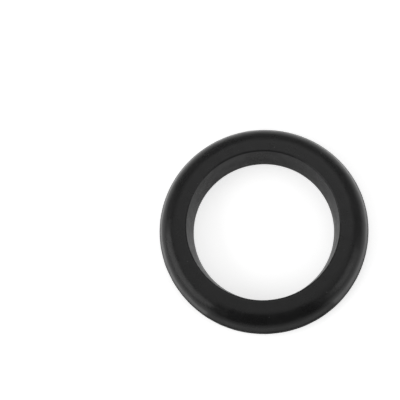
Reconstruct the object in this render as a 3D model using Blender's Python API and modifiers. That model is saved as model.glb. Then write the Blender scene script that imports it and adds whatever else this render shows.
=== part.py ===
"""Flush valve seal: a thick ring moulded in black rubber.

The ring lies on its wide, flat seat, with its rounded shoulder and the crown up. It is one
moulding, so it is one solid, turned from the section through one side of the ring. Metres,
+Z up, with the origin at the middle of the seat.
"""

from math import cos, hypot, pi, radians, tan

import bpy

# Bore, measured at the seat, and how far its wall leans out by the time it is at the crown
BORE_DIAMETER = 0.0566
BORE_FLARE = 0.0020
SEAT_LIP_RADIUS = 0.0005
CROWN_LIP_RADIUS = 0.0009

# Seat, the flat underside, measured outwards from the bore: it makes the ring 84 mm across
SEAT_WIDTH = 0.0137
HEIGHT = 0.0125

# Land, the level crown around the bore. Beyond it, the big round shoulder rolls over into a flank
# that leans in from the upright.
LAND_WIDTH = 0.0038
FLANK_LEAN = radians(20)

# Rim band, the upright edge of the seat, which stands out past the foot of the flank
BAND_HEIGHT = 0.0050
BAND_STEP = 0.00015
BAND_TOP_RADIUS = 0.0001
BAND_BOTTOM_RADIUS = 0.0010

# Facets around the ring and along each curve of the section
STEPS_AROUND = 120
SHOULDER_STEPS = 16
LIP_STEPS = 5
EDGE_STEPS = 4
SEAM_MERGE = 0.00001

# Black rubber, satin from the mould
RUBBER_COLOUR = (0.012, 0.012, 0.013, 1.0)
RUBBER_ROUGHNESS = 0.42
SMOOTH_ANGLE = radians(30)

OBJECT_NAME = "seal_ring"
COLLECTION_NAME = "flush_valve_seal"


def unit(vector):
    """The vector at a length of one."""
    length = hypot(*vector)
    return vector[0] / length, vector[1] / length


def rounded_corner(before, corner, after, radius, steps):
    """Points on the arc that rounds a corner and is tangent to both of its sides.

    The centre lies on the corner's bisector. The arc runs from the side towards `before` to
    the side towards `after`.
    """
    to_before = unit((before[0] - corner[0], before[1] - corner[1]))
    to_after = unit((after[0] - corner[0], after[1] - corner[1]))
    bisector = unit((to_before[0] + to_after[0], to_before[1] + to_after[1]))
    cos_half = bisector[0] * to_before[0] + bisector[1] * to_before[1]
    sin_half = (1 - cos_half ** 2) ** 0.5
    setback = radius * cos_half / sin_half
    centre = tuple(corner[i] + bisector[i] * radius / sin_half for i in range(2))
    start = tuple(corner[i] + to_before[i] * setback - centre[i] for i in range(2))
    end = tuple(corner[i] + to_after[i] * setback - centre[i] for i in range(2))

    points = []
    for step in range(steps + 1):
        share = step / steps
        outward = unit(tuple(start[i] * (1 - share) + end[i] * share for i in range(2)))
        points.append(tuple(centre[i] + outward[i] * radius for i in range(2)))
    return points


def section():
    """The ring's closed section as (radius, height): crown, shoulder, rim band, seat, bore.

    The shoulder starts at the land's edge, or further out where the flank is too short for it.
    """
    bore = BORE_DIAMETER / 2
    rim = bore + SEAT_WIDTH
    seat_edge = (bore, 0.0)
    crown_edge = (bore + BORE_FLARE, HEIGHT)
    land_edge = (bore + BORE_FLARE + LAND_WIDTH, HEIGHT)
    crease = (rim - BAND_STEP, BAND_HEIGHT)
    shoulder = (crease[0] - (HEIGHT - BAND_HEIGHT) * tan(FLANK_LEAN), HEIGHT)
    flank_length = (HEIGHT - BAND_HEIGHT) / cos(FLANK_LEAN)
    shoulder_setback = min(shoulder[0] - land_edge[0], flank_length)
    shoulder_radius = shoulder_setback / tan((pi / 2 - FLANK_LEAN) / 2)
    band_top = (rim, BAND_HEIGHT)
    band_foot = (rim, 0.0)
    return (
        rounded_corner(seat_edge, crown_edge, land_edge, CROWN_LIP_RADIUS, LIP_STEPS)
        + rounded_corner(land_edge, shoulder, crease, shoulder_radius, SHOULDER_STEPS)
        + [crease]
        + rounded_corner(crease, band_top, band_foot, BAND_TOP_RADIUS, EDGE_STEPS)
        + rounded_corner(band_top, band_foot, seat_edge, BAND_BOTTOM_RADIUS, EDGE_STEPS)
        + rounded_corner(band_foot, seat_edge, crown_edge, SEAT_LIP_RADIUS, EDGE_STEPS)
    )


def section_mesh(name, points):
    """The section as a closed loop of edges in the XZ plane, ready to be turned."""
    mesh = bpy.data.meshes.new(name)
    vertices = [(radius, 0.0, height) for radius, height in points]
    edges = [(i, (i + 1) % len(points)) for i in range(len(points))]
    mesh.from_pydata(vertices, edges, [])
    return mesh


def add_screw(ring):
    """Turn the section once around Z and close it on itself."""
    screw = ring.modifiers.new("Turned section", "SCREW")
    screw.axis = "Z"
    screw.angle = 2 * pi
    screw.steps = STEPS_AROUND
    screw.render_steps = STEPS_AROUND
    screw.use_merge_vertices = True
    screw.merge_threshold = SEAM_MERGE


def black_rubber():
    """Solid black rubber with the satin skin of its mould."""
    material = bpy.data.materials.new("black_rubber")
    material.use_nodes = True
    material.diffuse_color = RUBBER_COLOUR
    shader = material.node_tree.nodes["Principled BSDF"]
    shader.inputs["Base Color"].default_value = RUBBER_COLOUR
    shader.inputs["Roughness"].default_value = RUBBER_ROUGHNESS
    shader.inputs["Metallic"].default_value = 0.0
    return material


def turned_ring(collection):
    """Make the ring: turn its section, keep the result as its mesh and shade it smooth."""
    profile = section_mesh("ring_section", section())
    ring = bpy.data.objects.new(OBJECT_NAME, profile)
    collection.objects.link(ring)
    add_screw(ring)

    evaluated = ring.evaluated_get(bpy.context.evaluated_depsgraph_get())
    turned = bpy.data.meshes.new_from_object(evaluated)
    turned.name = OBJECT_NAME
    turned.shade_smooth()
    turned.set_sharp_from_angle(angle=SMOOTH_ANGLE)
    turned.materials.append(black_rubber())
    ring.modifiers.clear()
    ring.data = turned
    bpy.data.meshes.remove(profile)


for leftover in list(bpy.data.objects):
    bpy.data.objects.remove(leftover, do_unlink=True)

seal = bpy.data.collections.new(COLLECTION_NAME)
bpy.context.scene.collection.children.link(seal)
turned_ring(seal)
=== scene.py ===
from math import cos, pi, radians, sin, tan

import bpy
import numpy as np
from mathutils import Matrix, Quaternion, Vector


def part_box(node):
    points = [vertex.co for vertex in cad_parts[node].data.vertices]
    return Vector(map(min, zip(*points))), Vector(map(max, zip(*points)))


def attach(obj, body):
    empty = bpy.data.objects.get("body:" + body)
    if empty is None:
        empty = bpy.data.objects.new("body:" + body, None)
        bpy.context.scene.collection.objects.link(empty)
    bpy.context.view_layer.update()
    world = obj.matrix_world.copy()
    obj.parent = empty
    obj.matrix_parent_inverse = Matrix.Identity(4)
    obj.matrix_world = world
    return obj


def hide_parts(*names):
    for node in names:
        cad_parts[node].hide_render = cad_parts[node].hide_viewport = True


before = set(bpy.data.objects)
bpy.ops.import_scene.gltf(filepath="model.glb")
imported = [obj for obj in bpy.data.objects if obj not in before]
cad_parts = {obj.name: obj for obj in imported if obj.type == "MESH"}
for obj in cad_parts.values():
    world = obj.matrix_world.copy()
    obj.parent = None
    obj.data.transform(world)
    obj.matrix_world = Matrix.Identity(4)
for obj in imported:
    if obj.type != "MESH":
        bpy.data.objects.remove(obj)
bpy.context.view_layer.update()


# Seal ring
# The one piece: a thick ring of black rubber, moulded whole, lying on its flat seat. Around its
# flared bore lies a level land, which rolls over a round shoulder into a leaning flank and ends at
# an upright band. The mould's halves met there and at the bore's foot, where a line of flash shows.
RING = "seal_ring"
ring_low, ring_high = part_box(RING)
RING_HEIGHT = ring_high.z
BORE_RADIUS = 0.0283
BORE_FLARE = 0.0020
LAND_WIDTH = 0.0038
FLANK_LEAN = radians(20)
BAND_HEIGHT = 0.0050
BAND_STEP = 0.0001
FLASH_HEIGHT = 0.00005
FLASH_WIDTH = 0.0006
BAND_FLASH_LEVEL = 0.0026
BORE_FLASH_LEVEL = 0.0012
BAND_RADIUS = ring_high.x - FLASH_HEIGHT
CROWN_LIP_RADIUS = 0.0009
CREASE_RADIUS = 0.00005
BAND_TOP_RADIUS = 0.00006
BAND_BOTTOM_RADIUS = 0.0010
SEAT_LIP_RADIUS = 0.0005
AROUND = 640
ALONG = 150


def rounded(before, corner, after, radius, count=25):
    """The arc that rounds a corner: its centre lies on the bisector of the two sides, and its
    points swing at even angles from the foot on one side to the foot on the other."""
    before, corner, after = map(np.asarray, (before, corner, after))
    side_in = (before - corner) / np.linalg.norm(before - corner)
    side_out = (after - corner) / np.linalg.norm(after - corner)
    half = np.arccos(side_in @ side_out) / 2
    bisector = (side_in + side_out) / np.linalg.norm(side_in + side_out)
    centre = corner + bisector * radius / np.sin(half)
    across = (side_out - side_in) / np.linalg.norm(side_out - side_in)
    swing = np.linspace(half - pi / 2, pi / 2 - half, count)[:, None]
    return centre + radius * (np.sin(swing) * across - np.cos(swing) * bisector)


def flash_ridge(start, end, level, count=21):
    """The line of flash on the straight side from `start` to `end`, where that crosses `level`:
    it stands out to the side's left by the square of a sine across its own width."""
    start, end = map(np.asarray, (start, end))
    side = (end - start) / np.linalg.norm(end - start)
    outward = np.array([-side[1], side[0]])
    middle = start + (end - start) * (level - start[1]) / (end[1] - start[1])
    share = np.linspace(0, 1, count)[:, None]
    across = FLASH_WIDTH * (share - 0.5)
    height = FLASH_HEIGHT * np.sin(pi * share) ** 2
    return middle + side * across + outward * height


def ring_section(count, turn_weight=0.0016):
    """The closed section as (radius, height), clockwise from the bore's edge at the crown.

    Its curves are joined by straight sides. Points are then spread evenly over length plus
    turn_weight times the angle turned, which crowds them where the section bends.
    """
    seat_edge = (BORE_RADIUS, 0.0)
    crown_edge = (BORE_RADIUS + BORE_FLARE, RING_HEIGHT)
    land_edge = (BORE_RADIUS + BORE_FLARE + LAND_WIDTH, RING_HEIGHT)
    crease = (BAND_RADIUS - BAND_STEP, BAND_HEIGHT)
    band_top = (BAND_RADIUS, BAND_HEIGHT)
    band_foot = (BAND_RADIUS, 0.0)
    shoulder = (crease[0] - (RING_HEIGHT - BAND_HEIGHT) * tan(FLANK_LEAN), RING_HEIGHT)
    shoulder_radius = (shoulder[0] - land_edge[0]) / tan((pi / 2 - FLANK_LEAN) / 2)
    curves = [
        rounded(seat_edge, crown_edge, land_edge, CROWN_LIP_RADIUS),
        rounded(land_edge, shoulder, crease, shoulder_radius, count=80),
        rounded(shoulder, crease, band_top, CREASE_RADIUS),
        rounded(crease, band_top, band_foot, BAND_TOP_RADIUS),
        flash_ridge(band_top, band_foot, BAND_FLASH_LEVEL),
        rounded(band_top, band_foot, seat_edge, BAND_BOTTOM_RADIUS),
        rounded(band_foot, seat_edge, crown_edge, SEAT_LIP_RADIUS),
        flash_ridge(seat_edge, crown_edge, BORE_FLASH_LEVEL),
    ]
    line = np.concatenate(curves + [curves[0][:1]])
    step = np.diff(line, axis=0)
    length = np.hypot(*step.T)
    heading = np.arctan2(step[:, 1], step[:, 0])
    turn = np.abs(np.angle(np.exp(1j * np.diff(heading, prepend=heading[-1]))))
    spread = np.concatenate([[0.0], np.cumsum(length + turn_weight * turn)])
    even = np.linspace(0.0, spread[-1], count, endpoint=False)
    return np.stack([np.interp(even, spread, line[:, k]) for k in range(2)], axis=1)


def closed_differences(section):
    """The step from the point before to the point after each one, around the closed section."""
    return np.roll(section, -1, axis=0) - np.roll(section, 1, axis=0)


def bend(section, sharpest=0.0005, smoothings=2):
    """How sharply each point of the section turns: 1 is a radius of `sharpest`, convex is positive.

    It is the change of heading over the length it takes, then averaged with its neighbours.
    """
    ahead = np.roll(section, -1, axis=0) - section
    heading = np.arctan2(ahead[:, 1], ahead[:, 0])
    turned = -np.angle(np.exp(1j * (heading - np.roll(heading, 1))))
    curvature = turned / (np.hypot(*closed_differences(section).T) / 2) * sharpest
    for _ in range(smoothings):
        curvature = (np.roll(curvature, 1) + 2 * curvature + np.roll(curvature, -1)) / 4
    return np.clip(curvature, -1, 1)


def closed_relief(around, section, wave, seed, spread=0.5):
    """Smooth random relief, one high on average, that joins up with itself both ways.

    Seeded white noise is filtered in frequency by a bell around one swell per `wave`, counted in
    metres around the ring and along its section, and is read at the section's points by length.
    The bell is as wide as `spread` times that frequency.
    """
    lengths = np.hypot(*(np.roll(section, -1, axis=0) - section).T)
    along = len(section)
    at = np.concatenate([[0.0], np.cumsum(lengths)[:-1]])
    mean_radius = section[:, 0].mean()
    swells_around = np.fft.fftfreq(around, 2 * pi * mean_radius / around)[:, None]
    swells_along = np.fft.fftfreq(along, lengths.sum() / along)[None, :]
    swells = np.hypot(swells_around, swells_along) * wave
    white = np.random.default_rng(seed).standard_normal((around, along))
    smooth = np.fft.ifft2(np.fft.fft2(white) * np.exp(-((swells - 1) / spread) ** 2)).real
    even = np.arange(along + 1) * lengths.sum() / along
    wrapped = np.hstack([smooth, smooth[:, :1]]) / smooth.std()
    place = np.interp(at, even, np.arange(along + 1))
    low = np.clip(place.astype(int), 0, along - 1)
    share = place - low
    return wrapped[:, low] * (1 - share) + wrapped[:, low + 1] * share


def turned_surface(sections):
    """A closed surface through sections that stand at even angles around Z, one after the other.

    They are an (around, along, 2) grid of radius and height. Returns the vertices as an
    (around, along, 3) grid and the quads that join it both ways.
    """
    around, along = sections.shape[:2]
    angle = np.linspace(0.0, 2 * pi, around, endpoint=False)[:, None]
    radius, height = sections[..., 0], sections[..., 1]
    grid = np.stack([radius * np.cos(angle), radius * np.sin(angle), height], axis=-1)
    index = np.arange(around * along).reshape(around, along)
    ahead = np.roll(index, -1, axis=0)
    corners = [index, np.roll(index, -1, axis=1), np.roll(ahead, -1, axis=1), ahead]
    return grid, np.stack(corners, axis=-1).reshape(-1, 4)


def surface_object(name, grid, quads):
    """A smooth shaded mesh object with its place in its mesh."""
    mesh = bpy.data.meshes.new(name)
    mesh.vertices.add(grid.size // 3)
    mesh.vertices.foreach_set("co", grid.reshape(-1).astype(np.float32))
    mesh.loops.add(quads.size)
    mesh.loops.foreach_set("vertex_index", quads.reshape(-1).astype(np.int32))
    mesh.polygons.add(len(quads))
    mesh.polygons.foreach_set("loop_start", np.arange(0, quads.size, 4, dtype=np.int32))
    mesh.update(calc_edges=True)
    mesh.shade_smooth()
    piece = bpy.data.objects.new(name, mesh)
    bpy.context.scene.collection.objects.link(piece)
    return piece


# The skin isn't quite even: it sinks below the true section by up to some hundredths of a
# millimetre, so the ring keeps its size. The seat stays flat, and the flash comes and goes.
SWELL_WAVE = 0.007
SWELL_DEPTH = 0.000016
RIPPLE_WAVE = 0.0024
RIPPLE_DEPTH = 0.000003
FLASH_PATCH = 0.0022
FLASH_MEAN = 0.45
FLASH_SWING = 0.4
section = ring_section(ALONG)
side = closed_differences(section)
normal = np.stack([-side[:, 1], side[:, 0]], axis=1) / np.hypot(*side.T)[:, None]
off_seat = np.clip(section[:, 1] / BAND_BOTTOM_RADIUS, 0, 1)
relief = SWELL_DEPTH * closed_relief(AROUND, section, SWELL_WAVE, seed=3)
relief += RIPPLE_DEPTH * closed_relief(AROUND, section, RIPPLE_WAVE, seed=5)
relief = (relief - relief.max()) * off_seat
uneven = section + relief[..., None] * normal

patches = closed_relief(AROUND, section, FLASH_PATCH, seed=8)
flash_share = np.clip(FLASH_MEAN + FLASH_SWING * patches, 0, 1)
beyond_band = np.clip(uneven[..., 0] - BAND_RADIUS, 0, None)
uneven[..., 0] -= beyond_band * (1 - flash_share)

ring = surface_object("rubber_ring", *turned_surface(uneven))

# Each point keeps how far it is an edge that gets rubbed, and how far a crease that holds dust.
turning = np.tile(bend(section), AROUND)
for name, amount in (("edge", turning), ("crease", -turning)):
    layer = ring.data.attributes.new(name, "FLOAT", "POINT")
    layer.data.foreach_set("value", np.clip(amount, 0, 1).astype(np.float32))

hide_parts(RING)
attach(ring, "root")


# Moulded skin
# The rubber as it left the mould: nearly black, satin, with the mould's blasted grain and its
# turning lines, a faint cloudy film where wax has come to the surface, and a little dust.


def node(tree, kind, inputs=None, **settings):
    """Add a node, set its settings, then fill its inputs: a socket is linked, a value is set."""
    made = tree.nodes.new(kind)
    for name, value in settings.items():
        setattr(made, name, value)
    for key, value in (inputs or {}).items():
        if isinstance(value, bpy.types.NodeSocket):
            tree.links.new(value, made.inputs[key])
        else:
            made.inputs[key].default_value = value
    return made


def maths(tree, operation, *values):
    """A Math node's result."""
    return node(tree, "ShaderNodeMath", dict(enumerate(values)), operation=operation).outputs[0]


def ramp(tree, value, start, end, low=0.0, high=1.0):
    """A smooth step from low to high while the value goes from start to end."""
    inputs = {"Value": value, "From Min": start, "From Max": end, "To Min": low, "To Max": high}
    return node(tree, "ShaderNodeMapRange", inputs, interpolation_type="SMOOTHSTEP").outputs[0]


def noise(tree, place, size, detail=2.0, distortion=0.0):
    """Noise with features of about `size` metres."""
    scale = maths(tree, "DIVIDE", 1.0, size)
    inputs = {"Vector": place, "Scale": scale, "Detail": detail, "Distortion": distortion}
    return node(tree, "ShaderNodeTexNoise", inputs).outputs["Fac"]


def effect_group(name, values, outputs):
    """A new node group. It takes a place and named values, and gives named numbers.

    Returns the group, its input sockets by name, and a function that fills its outputs.
    """
    group = bpy.data.node_groups.new(name, "ShaderNodeTree")
    group.interface.new_socket("Place", in_out="INPUT", socket_type="NodeSocketVector")
    for label, value in values.items():
        socket = group.interface.new_socket(label, in_out="INPUT", socket_type="NodeSocketFloat")
        socket.default_value = value
    for label in outputs:
        group.interface.new_socket(label, in_out="OUTPUT", socket_type="NodeSocketFloat")
    sockets = group.nodes.new("NodeGroupInput").outputs

    def finish(**results):
        node(group, "NodeGroupOutput", results)

    return group, sockets, finish


def mould_grain():
    """Blasted grain: fine noise for the pits, over noise ten times as coarse for orange peel."""
    group, given, finish = effect_group("mould_grain", {"Size": 0.0003}, ["Height"])
    pits = noise(group, given["Place"], given["Size"], detail=3.0)
    peel = noise(group, given["Place"], maths(group, "MULTIPLY", given["Size"], 10.0), detail=1.0)
    finish(Height=maths(group, "MULTIPLY_ADD", peel, 0.8, pits))
    return group


def turning_lines():
    """Rings left by the lathe: noise of radius and height alone, faded in and out in patches."""
    values = {"Pitch": 0.0004, "Patch": 0.012}
    group, given, finish = effect_group("turning_lines", values, ["Height"])
    parts = node(group, "ShaderNodeSeparateXYZ", {0: given["Place"]}).outputs
    squares = [maths(group, "POWER", parts[axis], 2.0) for axis in "XY"]
    radius = maths(group, "SQRT", maths(group, "ADD", *squares))
    turned = node(group, "ShaderNodeCombineXYZ", {"X": radius, "Z": parts["Z"]})
    lines = noise(group, turned.outputs[0], given["Pitch"], detail=2.0)
    patches = ramp(group, noise(group, given["Place"], given["Patch"], detail=1.0), 0.42, 0.62)
    finish(Height=maths(group, "MULTIPLY", lines, patches))
    return group


def cloudy_film(softness=0.14):
    """Cloudy patches: layered noise, cut by a soft threshold that leaves `Cover` of the surface."""
    group, given, finish = effect_group("cloudy_film", {"Size": 0.01, "Cover": 0.5}, ["Mask"])
    clouds = noise(group, given["Place"], given["Size"], detail=5.0, distortion=0.6)
    middle = maths(group, "SUBTRACT", 1.0, given["Cover"])
    start = maths(group, "SUBTRACT", middle, softness)
    end = maths(group, "ADD", middle, softness)
    finish(Mask=ramp(group, clouds, start, end))
    return group


def dust_specks(least=0.06, spread=0.16):
    """Specks: a share of the cells of a random mosaic hold one. Each has a radius of its own, from
    `least` to `spread` more, where a cell is 1 across."""
    group, given, finish = effect_group("dust_specks", {"Size": 0.0012, "Share": 0.1}, ["Mask"])
    scale = maths(group, "DIVIDE", 1.0, given["Size"])
    cells = node(group, "ShaderNodeTexVoronoi", {"Vector": given["Place"], "Scale": scale})
    chance = node(group, "ShaderNodeSeparateColor", {0: cells.outputs["Color"]})
    held = maths(group, "LESS_THAN", chance.outputs["Red"], given["Share"])
    radius = maths(group, "MULTIPLY_ADD", chance.outputs["Green"], spread, least)
    inside = maths(group, "LESS_THAN", cells.outputs["Distance"], radius)
    finish(Mask=maths(group, "MULTIPLY", held, inside))
    return group


def rubbing_marks(thickness=0.006, patch=0.009):
    """Hairline rubs: the thin lines where winding noise crosses its middle, kept in patches."""
    group, given, finish = effect_group("rubbing_marks", {"Size": 0.006}, ["Mask"])
    winding = noise(group, given["Place"], given["Size"], detail=1.0, distortion=1.2)
    off_line = maths(group, "ABSOLUTE", maths(group, "SUBTRACT", winding, 0.5))
    lines = ramp(group, off_line, 0.0, thickness, low=1.0, high=0.0)
    patches = ramp(group, noise(group, given["Place"], patch, detail=2.0), 0.52, 0.66)
    finish(Mask=maths(group, "MULTIPLY", lines, patches))
    return group


GRAIN, LINES, FILM, SPECKS, RUBS = (
    mould_grain(), turning_lines(), cloudy_film(), dust_specks(), rubbing_marks()
)


def placed(tree, group, output, place, **values):
    """A node group's output, where the group reads `place` and has its own values set."""
    made = node(tree, "ShaderNodeGroup", node_tree=group)
    tree.links.new(place, made.inputs["Place"])
    for label, value in values.items():
        made.inputs[label].default_value = value
    return made.outputs[output]


def blended(tree, mask, below, above):
    """A colour that goes from below to above as the mask goes from 0 to 1."""
    mix = node(tree, "ShaderNodeMix", data_type="RGBA")
    for key, value in (("Factor_Float", mask), ("A_Color", below), ("B_Color", above)):
        socket = next(s for s in mix.inputs if s.identifier == key)
        if isinstance(value, bpy.types.NodeSocket):
            tree.links.new(value, socket)
        else:
            socket.default_value = value
    return next(s for s in mix.outputs if s.identifier == "Result_Color")


def grey(level):
    """The colour of rubber of that lightness, very slightly blue."""
    return (level, level, level * 1.02, 1.0)


def layered(tree, colour, *layers):
    """The colour under thin layers: each is a mask, its greatest cover and its own grey."""
    for mask, cover, level in layers:
        colour = blended(tree, maths(tree, "MULTIPLY", mask, cover), colour, grey(level))
    return colour


def rubber_material(name):
    """A new material's tree, its Principled shader and the ring's own coordinates."""
    material = bpy.data.materials.new(name)
    material.use_nodes = True
    shader = material.node_tree.nodes["Principled BSDF"]
    place = node(material.node_tree, "ShaderNodeTexCoord").outputs["Object"]
    return material, material.node_tree, shader, place


def attribute(tree, name):
    """One of the ring's own attributes."""
    return node(tree, "ShaderNodeAttribute", attribute_name=name).outputs["Fac"]


MICRON = 0.000001


def relief_normal(tree, *layers):
    """Bumps laid over each other: each layer is a height of 0 to 1 and its depth in microns."""
    normal = None
    for height, depth in layers:
        inputs = {"Height": height, "Distance": depth * MICRON}
        if normal:
            inputs["Normal"] = normal
        normal = node(tree, "ShaderNodeBump", inputs).outputs["Normal"]
    return normal


def moulded_skin():
    """Satin black rubber."""
    material, tree, shader, place = rubber_material("moulded_skin")
    film = placed(tree, FILM, "Mask", place, Size=0.011, Cover=0.46)
    fine_film = placed(tree, FILM, "Mask", place, Size=0.0025, Cover=0.44)
    dust = placed(tree, SPECKS, "Mask", place, Size=0.0013, Share=0.05)
    rubs = placed(tree, RUBS, "Mask", place, Size=0.007)
    edge, crease = attribute(tree, "edge"), attribute(tree, "crease")

    clouds = maths(tree, "MULTIPLY_ADD", fine_film, 0.3, maths(tree, "MULTIPLY", film, 0.5))
    clouded = blended(tree, clouds, grey(0.0070), grey(0.0095))
    colour = layered(
        tree, clouded, (edge, 0.5, 0.020), (crease, 0.5, 0.022),
        (rubs, 0.3, 0.030), (dust, 0.6, 0.060),
    )
    tree.links.new(colour, shader.inputs["Base Color"])

    roughness = maths(tree, "MULTIPLY_ADD", clouds, 0.08, 0.27)
    roughness = maths(tree, "MULTIPLY_ADD", rubs, 0.10, roughness)
    roughness = maths(tree, "MULTIPLY_ADD", crease, 0.25, roughness)
    tree.links.new(roughness, shader.inputs["Roughness"])
    shader.inputs["Specular IOR Level"].default_value = 0.22

    grain = placed(tree, GRAIN, "Height", place, Size=0.00028)
    lines = placed(tree, LINES, "Height", place, Pitch=0.00045, Patch=0.014)
    normal = relief_normal(tree, (grain, 2.5), (lines, 3), (dust, 20))
    tree.links.new(normal, shader.inputs["Normal"])
    return material


ring.data.materials.append(moulded_skin())


# Trimmed band and seat
# The same rubber where the flash was cut off the band and where the ring stands. It is duller and
# a little greyer, scored around by the trimming knife, and picks up more dust than the skin.
def trimmed_rubber():
    """Dull black rubber."""
    material, tree, shader, place = rubber_material("trimmed_rubber")
    film = placed(tree, FILM, "Mask", place, Size=0.004, Cover=0.5)
    dust = placed(tree, SPECKS, "Mask", place, Size=0.0010, Share=0.08)
    rubs = placed(tree, RUBS, "Mask", place, Size=0.004)
    edge, crease = attribute(tree, "edge"), attribute(tree, "crease")

    colour = layered(
        tree, grey(0.0080), (film, 0.6, 0.0150), (edge, 0.4, 0.022), (crease, 0.5, 0.024),
        (rubs, 0.3, 0.035), (dust, 0.6, 0.070),
    )
    tree.links.new(colour, shader.inputs["Base Color"])

    roughness = maths(tree, "MULTIPLY_ADD", film, 0.10, 0.58)
    tree.links.new(roughness, shader.inputs["Roughness"])
    shader.inputs["Specular IOR Level"].default_value = 0.16

    grain = placed(tree, GRAIN, "Height", place, Size=0.00022)
    lines = placed(tree, LINES, "Height", place, Pitch=0.00025, Patch=0.006)
    normal = relief_normal(tree, (grain, 8), (lines, 14), (dust, 20))
    tree.links.new(normal, shader.inputs["Normal"])
    return material


ring.data.materials.append(trimmed_rubber())
next_point = np.roll(section, -1, axis=0)
middle = (section + next_point) / 2
on_band = (middle[:, 0] > BAND_RADIUS - BAND_STEP) & (middle[:, 1] < BAND_HEIGHT)
on_seat = middle[:, 1] < SEAT_LIP_RADIUS / 2
trimmed = np.tile((on_band | on_seat).astype(np.int32), AROUND)
ring.data.polygons.foreach_set("material_index", trimmed)


# Table
# A wide white table top, just under the ring. It takes the ring's shadow, and the camera and the
# gloss see it lifted to white. It is clear from below, so that it hides nothing.
TABLE_HALF = 3.0
TABLE_GAP = 0.0001
TABLE_LIFT = 0.52
table_mesh = bpy.data.meshes.new("table_top")
table_corners = [
    (x * TABLE_HALF, y * TABLE_HALF, ring_low.z - TABLE_GAP)
    for x, y in ((-1, -1), (1, -1), (1, 1), (-1, 1))
]
table_mesh.from_pydata(table_corners, [], [(0, 1, 2, 3)])
table = bpy.data.objects.new("table_top", table_mesh)
bpy.context.scene.collection.objects.link(table)


def seen_directly(tree):
    """1 for the rays that show a surface, which are camera, glossy and transmission rays."""
    ray = node(tree, "ShaderNodeLightPath").outputs
    seen = maths(tree, "MAXIMUM", ray["Is Camera Ray"], ray["Is Glossy Ray"])
    return maths(tree, "MAXIMUM", seen, ray["Is Transmission Ray"])


def white_table():
    """A white diffuse surface, lifted for the rays that show it."""
    material = bpy.data.materials.new("white_table")
    material.use_nodes = True
    tree = material.node_tree
    shader = tree.nodes["Principled BSDF"]
    shader.inputs["Base Color"].default_value = (0.8, 0.8, 0.8, 1)
    shader.inputs["Roughness"].default_value = 0.9
    shader.inputs["Specular IOR Level"].default_value = 0.0
    shader.inputs["Emission Color"].default_value = (1, 1, 1, 1)
    lift = maths(tree, "MULTIPLY", seen_directly(tree), TABLE_LIFT)
    tree.links.new(lift, shader.inputs["Emission Strength"])
    below = node(tree, "ShaderNodeNewGeometry").outputs["Backfacing"]
    clear = node(tree, "ShaderNodeBsdfTransparent").outputs[0]
    both = node(tree, "ShaderNodeMixShader", {0: below, 1: shader.outputs[0], 2: clear})
    tree.links.new(both.outputs[0], tree.nodes["Material Output"].inputs["Surface"])
    return material


table_mesh.materials.append(white_table())


# Studio
# Three soft boxes light the ring: one overhead and behind, a wide low one at the left and a low one
# at the right. Its gloss also mirrors what stands around it: a dark card in front, grey mats on the
# table, which paint a shadow in front of the ring and a little light in its bore, a grey curtain
# far out and a white room.
def towards(azimuth, elevation, distance):
    """The point that far from the ring, in a direction given in degrees from +X and the table."""
    turn, rise = radians(azimuth), radians(elevation)
    return distance * Vector((cos(rise) * cos(turn), cos(rise) * sin(turn), sin(rise)))


def soft_box(name, azimuth, elevation, distance, width, height, level):
    """An area lamp that faces the ring. `level` is the brightness of its face, where 1 is white."""
    lamp = bpy.data.lights.new(name, "AREA")
    lamp.shape = "RECTANGLE"
    lamp.size = width
    lamp.size_y = height
    lamp.energy = level * pi * width * height
    box = bpy.data.objects.new(name, lamp)
    box.location = towards(azimuth, elevation, distance)
    box.rotation_mode = "QUATERNION"
    box.rotation_quaternion = (-box.location).to_track_quat("-Z", "Y")
    box.visible_camera = False
    bpy.context.scene.collection.objects.link(box)


def gloss_card(name, grid, shade, fade=None, glow=0.0):
    """A matt card that only the gloss sees, with a grid of points as its mesh. Its shade is one
    grey, or goes from a first to a second grey over the two heights of `fade`. `glow` is its own
    light, where 1 is white."""
    rows, columns = grid.shape[:2]
    index = np.arange(rows * columns).reshape(rows, columns)
    quads = np.stack([index[:-1, :-1], index[1:, :-1], index[1:, 1:], index[:-1, 1:]], axis=-1)
    card = surface_object(name, grid, quads.reshape(-1, 4))
    matt = bpy.data.materials.new(name)
    matt.use_nodes = True
    shader = matt.node_tree.nodes["Principled BSDF"]
    if fade:
        place = node(matt.node_tree, "ShaderNodeTexCoord").outputs["Object"]
        height = node(matt.node_tree, "ShaderNodeSeparateXYZ", {0: place}).outputs["Z"]
        faded = ramp(matt.node_tree, height, *fade, low=shade[0], high=shade[1])
        matt.node_tree.links.new(faded, shader.inputs["Base Color"])
    else:
        shader.inputs["Base Color"].default_value = (shade, shade, shade, 1)
    shader.inputs["Roughness"].default_value = 1.0
    shader.inputs["Specular IOR Level"].default_value = 0.0
    shader.inputs["Emission Color"].default_value = (1, 1, 1, 1)
    shader.inputs["Emission Strength"].default_value = glow
    card.data.materials.append(matt)
    card.visible_camera = card.visible_diffuse = card.visible_shadow = False


def ring_of_points(first, last, radii, heights, columns=24):
    """A grid of points around the ring: its columns go from the first azimuth to the last, in
    degrees, and each of its rows has a radius and a height."""
    azimuth = np.radians(np.linspace(first, last, columns))[:, None]
    azimuth, radius, height = np.broadcast_arrays(azimuth, radii, heights)
    return np.stack([radius * np.cos(azimuth), radius * np.sin(azimuth), height], axis=-1)


# Name, azimuth, elevation, distance, width, height and level of each
for box in (
    ("overhead_box", 68, 57, 0.97, 0.60, 0.65, 0.62),
    ("left_box", 189, 25, 1.0, 1.05, 0.66, 2.30),
    ("right_box", 333, 24, 1.0, 0.50, 0.62, 1.80),
):
    soft_box(*box)

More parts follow.
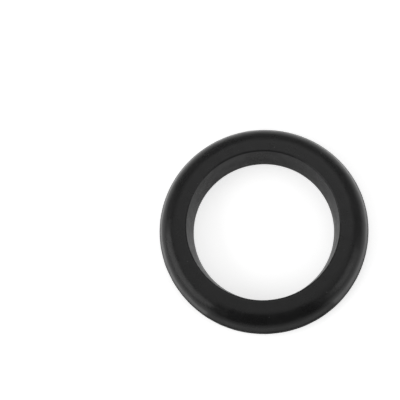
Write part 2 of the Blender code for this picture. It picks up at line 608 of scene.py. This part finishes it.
# The card in front is darkest low down, which makes the front of the shoulder the darkest part.
CARD_SPAN = (227, 303)
CARD_RADIUS = 0.100
CARD_HEIGHTS = (0.001, 0.260)
CARD_GREYS = (0.09, 0.70)
CARD_FADE = (0.090, 0.260)
front_card = ring_of_points(*CARD_SPAN, (CARD_RADIUS, CARD_RADIUS), CARD_HEIGHTS)
gloss_card("front_card", front_card, CARD_GREYS, fade=CARD_FADE)

# The mats lie just clear of the table. The grey one in front is painted shadow: it darkens the
# table where the front of the ring mirrors it. The one in the bore glows a little on its left,
# where the ring's own shadow would make the bore's wall too dark.
MAT_HEIGHTS = (0.0002, 0.0002)
FRONT_SHADOW_MAT_SPAN = (228, 306)
FRONT_SHADOW_MAT_RADIUS = 0.0425
front_shadow_mat = ring_of_points(*FRONT_SHADOW_MAT_SPAN, (FRONT_SHADOW_MAT_RADIUS, CARD_RADIUS), MAT_HEIGHTS)
gloss_card("front_shadow_mat", front_shadow_mat, 0.65)

BORE_MAT_RADII = (0.0, BORE_RADIUS - SEAT_LIP_RADIUS)
GLOW_START, GLOW_END = 95, 185
# The left sector's glow is painted light, which the bore's wall mirrors where the ring's own shadow
# falls.
for name, first, last, glow in (
    ("bore_mat", GLOW_END - 360, GLOW_START, 0.0), ("bore_mat_painted_glow", GLOW_START, GLOW_END, 0.12)
):
    sector = ring_of_points(first, last, BORE_MAT_RADII, MAT_HEIGHTS, columns=60)
    gloss_card(name, sector, 0.90, glow=glow)

CURTAIN_RADIUS = 1.6
CURTAIN_HEIGHTS = (0.001, 2.2)
curtain = ring_of_points(0, 360, (CURTAIN_RADIUS, CURTAIN_RADIUS), CURTAIN_HEIGHTS)
gloss_card("grey_curtain", curtain, 0.78)

# The room is white to the rays that show it, and a little darker as a light.
ROOM_LEVEL = 0.57
world = bpy.data.worlds.new("white_room")
world.use_nodes = True
room = world.node_tree
level = maths(room, "MULTIPLY_ADD", seen_directly(room), 1 - ROOM_LEVEL, ROOM_LEVEL)
room.nodes["Background"].inputs["Color"].default_value = (1, 1, 1, 1)
room.links.new(level, room.nodes["Background"].inputs["Strength"])
bpy.context.scene.world = world


# Camera
# It stands high over the ring, towards its near side and rolled a little, as in the photograph. It
# is aimed so that the middle of the seat falls on a given pixel of the square frame.
FRAME_PIXELS = 400
FOCAL_PIXELS = 1031.4
SEAT_CENTRE_PIXEL = (263.50, 231.47)
CAMERA_DISTANCE = 0.420
CAMERA_ELEVATION = radians(76.23)
CAMERA_ROLL = radians(8.13)

camera = bpy.data.objects.new("camera", bpy.data.cameras.new("camera"))
bpy.context.scene.collection.objects.link(camera)
camera.data.lens = camera.data.sensor_width * FOCAL_PIXELS / FRAME_PIXELS
camera.location = CAMERA_DISTANCE * Vector((0, -cos(CAMERA_ELEVATION), sin(CAMERA_ELEVATION)))
straight = (-camera.location).to_track_quat("-Z", "Y")
towards_centre = Vector((
    SEAT_CENTRE_PIXEL[0] - FRAME_PIXELS / 2,
    FRAME_PIXELS / 2 - SEAT_CENTRE_PIXEL[1],
    -FOCAL_PIXELS,
))
off_centre = Vector((0, 0, -1)).rotation_difference(towards_centre)
camera.rotation_mode = "QUATERNION"
camera.rotation_quaternion = straight @ Quaternion((0, 0, 1), -CAMERA_ROLL) @ off_centre.inverted()
bpy.context.scene.camera = camera
bpy.context.scene.view_settings.view_transform = "Standard"
